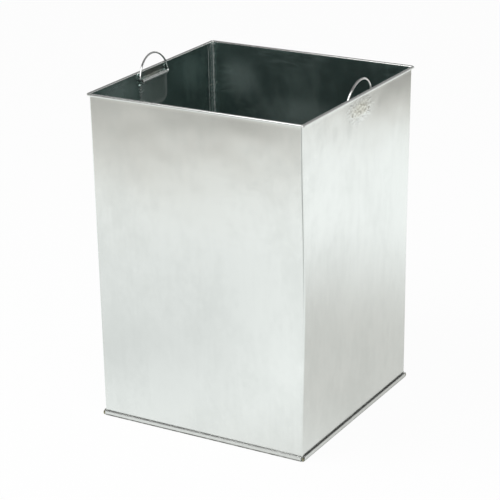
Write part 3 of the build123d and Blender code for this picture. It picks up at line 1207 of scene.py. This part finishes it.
class LINER_OT_sheet(bpy.types.Operator):
    """Makes the wrapper's waved sheet, bright outside and painted darker inside, as shade"""
    bl_idname = "liner.sheet"
    bl_label = "Sheet"

    def execute(self, context):
        settings = context.scene.liner_sheet
        grime_and_shade = context.scene.liner_foot.grime_and_shade
        outside = shaded_metal("Zinc outside", settings.color, settings.dull, settings.roughness,
                               rough_spread=0.14, streaks=0.35, bloom=0.4, smear=0.12, film=0.05,
                               bump=0.000008)
        # Painted shade and dirt in the crevice just above the foot seam, much weaker on the front wall
        soil_and_shade_crevice(outside, full=seam_height + 0.0004, gone=seam_height + 0.0014, color=grime_and_shade,
                     share=0.75, front_share=0.15)
        for along, rise, half_width, half_height, share in smudges:
            reach = (mark_depth, half_width, half_height)
            soil_spot(outside, (rim_half, along, rise), reach, settings.smudge, share, metallic=0.9)
        # Painted shade: the inside is a darker copy of the zinc
        inside = shaded_metal("Zinc inside", settings.inside, settings.inside_bloom_and_shade,
                              settings.inside_roughness, rough_spread=0.14, streaks=0.5, bloom=0.62,
                              smear=0.42, film=0.044)
        for middle, reach, share, metallic in inside_wipes:
            soil_spot(inside, middle, reach, settings.inside_bloom_and_shade, share, metallic, ragged=0.0)
        for side in (-1, 1):
            hinge = hinge_at(side)
            weld_z = hinge.z + upper_welds[0][1]
            scorched = (side * rim_half, hinge.y, weld_z + scorch_rise)
            soil_spot(outside, scorched, scorch_half, settings.scorch, share=0.45, metallic=0.9)
            dented = (side * rim_half, hinge.y, weld_z + dents_rise)
            pucker(outside, dented, dents_half, dent_length, settings.dent_depth)
            worn = (side * rim_half, hinge.y, hinge.z + worn_rise)
            soil_spot(inside, worn, worn_half, settings.worn, share=0.85, metallic=0.9, ragged=0.3)
        rubbed = context.scene.liner_strap.rubbed
        half = half_at(lap_line_z)
        for gap, half_width, share in lap_lines:
            middle = (-half, half - gap, lap_line_z)
            reach = (lap_line_depth, half_width, lap_line_half_height)
            soil_spot(inside, middle, reach, rubbed, share, metallic=0.4)
        wrapper = new_piece("sheet_wrapper", sheet_mesh("sheet_wrapper"))
        apply_nodes(wrapper, sheet_waves(), depth=settings.wave_depth, ripple_depth=settings.ripple_depth,
                    outside=outside, inside=inside)
        seat(wrapper, "can", "wrapper")
        return {"FINISHED"}


class LINER_OT_foot(bpy.types.Operator):
    """Makes the bottom pan with its hammered seam, and the solder in its corners"""
    bl_idname = "liner.foot"
    bl_label = "Foot"

    def execute(self, context):
        settings = context.scene.liner_foot
        zinc = shaded_metal("Pan zinc", settings.color, settings.color, roughness=0.3, rough_spread=0.2,
                            streaks=0.6, bloom=0.6, smear=0.8, film=0.1)
        # Painted shade and dirt over the fold's rounded top, where it would catch light; then a painted
        # shadow along the pan's lower edge, full on the front
        soil_and_shade_crevice(zinc, full=seam_height - 0.0002, gone=seam_height - 0.001, color=settings.grime_and_shade,
                     share=0.8, front_share=0.12)
        soil_and_shade_crevice(zinc, full=0.0024, gone=0.0036, color=settings.grime_and_shade, share=0.4, front_share=2.5)
        # Painted shade: the pan's inside face takes the darker inside zinc
        tree = zinc.node_tree
        place = add(tree, "ShaderNodeTexCoord").outputs["Object"]
        within = maths(tree, "SUBTRACT", 1.0, outside_share(tree, place))
        soil(zinc, within, context.scene.liner_sheet.inside, metallic=0.9)
        pan = new_piece("foot_pan", pan_mesh("foot_pan", settings.hammering), zinc)
        seat(pan, "can", "bottom_pan")
        solder = shaded_metal("Corner solder", settings.solder, settings.grime_and_shade, roughness=0.38,
                              rough_spread=0.2, streaks=0.2, bloom=0.9, smear=0.5)
        lumps = new_piece("foot_solder", solder_mesh("foot_solder"), solder)
        seat(lumps, "can")
        return {"FINISHED"}


class LINER_OT_straps(bpy.types.Operator):
    """Makes the two rolled straps and the marks of the spot welds"""
    bl_idname = "liner.straps"
    bl_label = "Straps and welds"

    def execute(self, context):
        settings = context.scene.liner_strap
        zinc = shaded_metal("Strap zinc", settings.color, settings.color, settings.roughness,
                            rough_spread=0.2, streaks=0.6, bloom=0.5, smear=0.3, film=0.1)
        border = add(zinc.node_tree, "ShaderNodeAttribute", attribute_name="share").outputs["Fac"]
        soil(zinc, border, settings.rubbed, metallic=0.8)
        for side, hand in hands:
            name = "rolled_strap_" + hand
            strap = new_piece(name, strap_mesh(name, side), zinc)
            seat(strap, "can", "handle_strap_" + hand)
        burnt = shaded_metal("Weld mark", settings.weld, settings.weld, roughness=0.3, rough_spread=0.2,
                             streaks=0.2, bloom=0.5, smear=0.5)
        marks = new_piece("weld_marks", weld_points("weld_marks"))
        apply_nodes(marks, weld_nodes(), finish=burnt)
        seat(marks, "can")
        return {"FINISHED"}


class LINER_OT_wires(bpy.types.Operator):
    """Makes the two bails and the wire in the rim"""
    bl_idname = "liner.wires"
    bl_label = "Wires"

    def execute(self, context):
        settings = context.scene.liner_wire
        plated = shaded_metal("Plated wire", settings.color, settings.color, settings.roughness,
                              rough_spread=0.2, streaks=0.5, bloom=0.3, smear=0.3, film=0.02)
        nodes = wire_nodes()
        bead_wire = new_piece("bead_wire", path_mesh("bead_wire", rim_wire_path()))
        apply_nodes(bead_wire, nodes, radius=wire_radius, finish=plated)
        seat(bead_wire, "can", "rim_wire")
        for side, hand in hands:
            name = "wire_bail_" + hand
            bail = new_piece(name, path_mesh(name, bail_path(side)))
            apply_nodes(bail, nodes, radius=wire_radius, finish=plated)
            seat(bail, "bail_" + hand, "handle_bail_" + hand)
        return {"FINISHED"}


def look_from(settings):
    """The camera's place and turn as one matrix."""
    flat, tilt = settings.azimuth, settings.elevation
    back = Vector((math.sin(flat) * math.cos(tilt), -math.cos(flat) * math.cos(tilt), math.sin(tilt)))
    level = (-back).cross(Vector((0, 0, 1))).normalized()
    upright = level.cross(-back)
    turn = Matrix.Rotation(settings.roll, 3, back)
    right = turn @ level
    over = turn @ upright
    eye = back * settings.distance + right * settings.across + over * settings.up
    matrix = Matrix((right, over, back)).transposed().to_4x4()
    matrix.translation = eye
    return matrix


def add_lamp(context, name, place, aim, size, power, only_gloss):
    """A square lamp at a place, pointing at aim: soft light that gloss doesn't show, or a glint for gloss."""
    lamp = bpy.data.lights.new(name, "AREA")
    lamp.energy = power
    lamp.size = size
    holder = bpy.data.objects.new(name, lamp)
    holder.location = place
    holder.rotation_euler = (Vector(aim) - Vector(place)).to_track_quat("-Z", "Y").to_euler()
    holder.visible_glossy = only_gloss
    holder.visible_diffuse = not only_gloss
    context.scene.collection.objects.link(holder)


def dark_side(tree, vector, near, far, low):
    """One on the backdrop's side, falling to low towards the open side of the studio."""
    open_side = (math.sin(studio_open), -math.cos(studio_open), 0.0)
    toward = add(tree, "ShaderNodeVectorMath", {0: vector, 1: open_side}, operation="DOT_PRODUCT")
    return ramp(tree, toward.outputs["Value"], near, far, 1.0, low)


def gloss_or_glass(tree, path):
    """One for a reflected or refracted ray."""
    return maths(tree, "MAXIMUM", path.outputs["Is Glossy Ray"], path.outputs["Is Transmission Ray"])


def floor_material(white):
    """Pale paper, white to the camera but for the can's shadow, and in gloss a glow with painted shade in
    places.
    """
    material, tree, shader, place = new_material("Floor paper")
    shader.inputs["Base Color"].default_value = (white, white, white, 1.0)
    shader.inputs["Roughness"].default_value = 0.9
    path = add(tree, "ShaderNodeLightPath")
    mirrored = gloss_or_glass(tree, path)
    seen = maths(tree, "MULTIPLY", path.outputs["Is Camera Ray"], floor_white)
    share = maths(tree, "MAXIMUM", seen, mirrored)
    gap = add(tree, "ShaderNodeVectorMath", {0: place, 1: paper_middle}, operation="DISTANCE")
    paper = ramp(tree, gap.outputs["Value"], paper_bright, paper_dim, 1.0, paper_low)
    warmth = paper
    # Painted shade: each place darkens and warms the glow that gloss sees in the floor
    for middle, full, gone, low, warm in painted_floor_shades:
        away = add(tree, "ShaderNodeVectorMath", {0: place, 1: (*middle, 0.0)}, operation="DISTANCE")
        shade = ramp(tree, away.outputs["Value"], full, gone, low, 1.0)
        paper = maths(tree, "MULTIPLY", paper, shade)
        warming = ramp(tree, away.outputs["Value"], full, gone, 1 - warm * (1 - low), 1.0)
        warmth = maths(tree, "MULTIPLY", warmth, warming)
    light = maths(tree, "MAXIMUM", path.outputs["Is Camera Ray"], paper)
    cast = ramp(tree, warmth, warm_shade, 1.0, 1.0, 0.0)
    tone = mix_colors(tree, cast, cool_tone, warm_tone)
    seen_tone = mix_colors(tree, path.outputs["Is Camera Ray"], tone, white_tone)
    glow = add(tree, "ShaderNodeEmission", {"Color": seen_tone, "Strength": light})
    both = add(tree, "ShaderNodeMixShader", {0: share, 1: shader.outputs[0], 2: glow.outputs[0]})
    tree.links.new(both.outputs[0], tree.nodes["Material Output"].inputs["Surface"])
    return material


def pale_room(strength):
    """World: white to the camera, and in gloss a backdrop under a grey ceiling, dark on one side."""
    world = bpy.data.worlds.new("Pale room")
    world.use_nodes = True
    tree = world.node_tree
    backdrop = tree.nodes["Background"]
    path = add(tree, "ShaderNodeLightPath")
    direction = add(tree, "ShaderNodeTexCoord").outputs["Generated"]
    height = add(tree, "ShaderNodeSeparateXYZ", {0: direction}).outputs["Z"]
    ceiling = ramp(tree, height, low=0.05, high=0.4, to_low=0.75, to_high=0.2)
    walls = dark_side(tree, direction, near=-0.2, far=0.6, low=0.3)
    room = maths(tree, "MULTIPLY", ceiling, walls)
    mirrored = maths(tree, "MULTIPLY", gloss_or_glass(tree, path), room)
    other = maths(tree, "SUBTRACT", 1.0, gloss_or_glass(tree, path))
    lit = maths(tree, "ADD", mirrored, maths(tree, "MULTIPLY", other, strength))
    tree.links.new(maths(tree, "MAXIMUM", lit, path.outputs["Is Camera Ray"]), backdrop.inputs["Strength"])
    backdrop.inputs["Color"].default_value = (1, 1, 1, 1)
    return world


class LINER_OT_stage(bpy.types.Operator):
    """Sets the floor, the lamps, the world and the camera"""
    bl_idname = "liner.stage"
    bl_label = "Stage"

    def execute(self, context):
        settings = context.scene.liner_stage
        scene = context.scene
        floor_mesh = bpy.data.meshes.new("floor")
        square = ((-1, -1), (1, -1), (1, 1), (-1, 1))
        corners = [(x * floor_reach, y * floor_reach, floor_height) for x, y in square]
        floor_mesh.from_pydata(corners, [], [(0, 1, 2, 3)])
        floor = bpy.data.objects.new("floor", floor_mesh)
        scene.collection.objects.link(floor)
        floor_mesh.materials.append(floor_material(settings.floor))

        for name, power, place, aim, size, only_gloss in lamps:
            add_lamp(context, name, place, aim, size, getattr(settings, power), only_gloss)

        scene.world = pale_room(settings.world)

        camera = bpy.data.cameras.new("camera")
        camera.sensor_width = 36.0
        camera.lens = settings.lens
        holder = bpy.data.objects.new("camera", camera)
        holder.matrix_world = look_from(settings)
        scene.collection.objects.link(holder)
        scene.camera = holder
        scene.view_settings.view_transform = "Standard"
        return {"FINISHED"}


class LINER_PT_panel(bpy.types.Panel):
    """The can's settings and the buttons that make its pieces"""
    bl_idname = "LINER_PT_panel"
    bl_label = "Liner can"
    bl_space_type = "VIEW_3D"
    bl_region_type = "UI"
    bl_category = "Liner can"

    def draw(self, context):
        for operator in operators:
            self.layout.operator(operator.bl_idname)
        for name in settings_groups:
            box = self.layout.box()
            settings = getattr(context.scene, name)
            for field in settings.bl_rna.properties:
                if not field.is_readonly and field.identifier != "name":
                    box.prop(settings, field.identifier)


operators = (LINER_OT_sheet, LINER_OT_foot, LINER_OT_straps, LINER_OT_wires, LINER_OT_stage)
settings_groups = {
    "liner_sheet": SheetSettings,
    "liner_foot": FootSettings,
    "liner_strap": StrapSettings,
    "liner_wire": WireSettings,
    "liner_stage": StageSettings,
}


def register():
    """Registers the classes and hangs the settings on the scene."""
    for cls in (*settings_groups.values(), *operators, LINER_PT_panel):
        bpy.utils.register_class(cls)
    for name, cls in settings_groups.items():
        setattr(bpy.types.Scene, name, bpy.props.PointerProperty(type=cls))


def unregister():
    """Takes the settings and classes away again."""
    for name in settings_groups:
        delattr(bpy.types.Scene, name)
    for cls in reversed((*settings_groups.values(), *operators, LINER_PT_panel)):
        bpy.utils.unregister_class(cls)


def main():
    register()
    bpy.ops.liner.sheet()
    bpy.ops.liner.foot()
    bpy.ops.liner.straps()
    bpy.ops.liner.wires()
    bpy.ops.liner.stage()


if __name__ == "__main__":
    main()
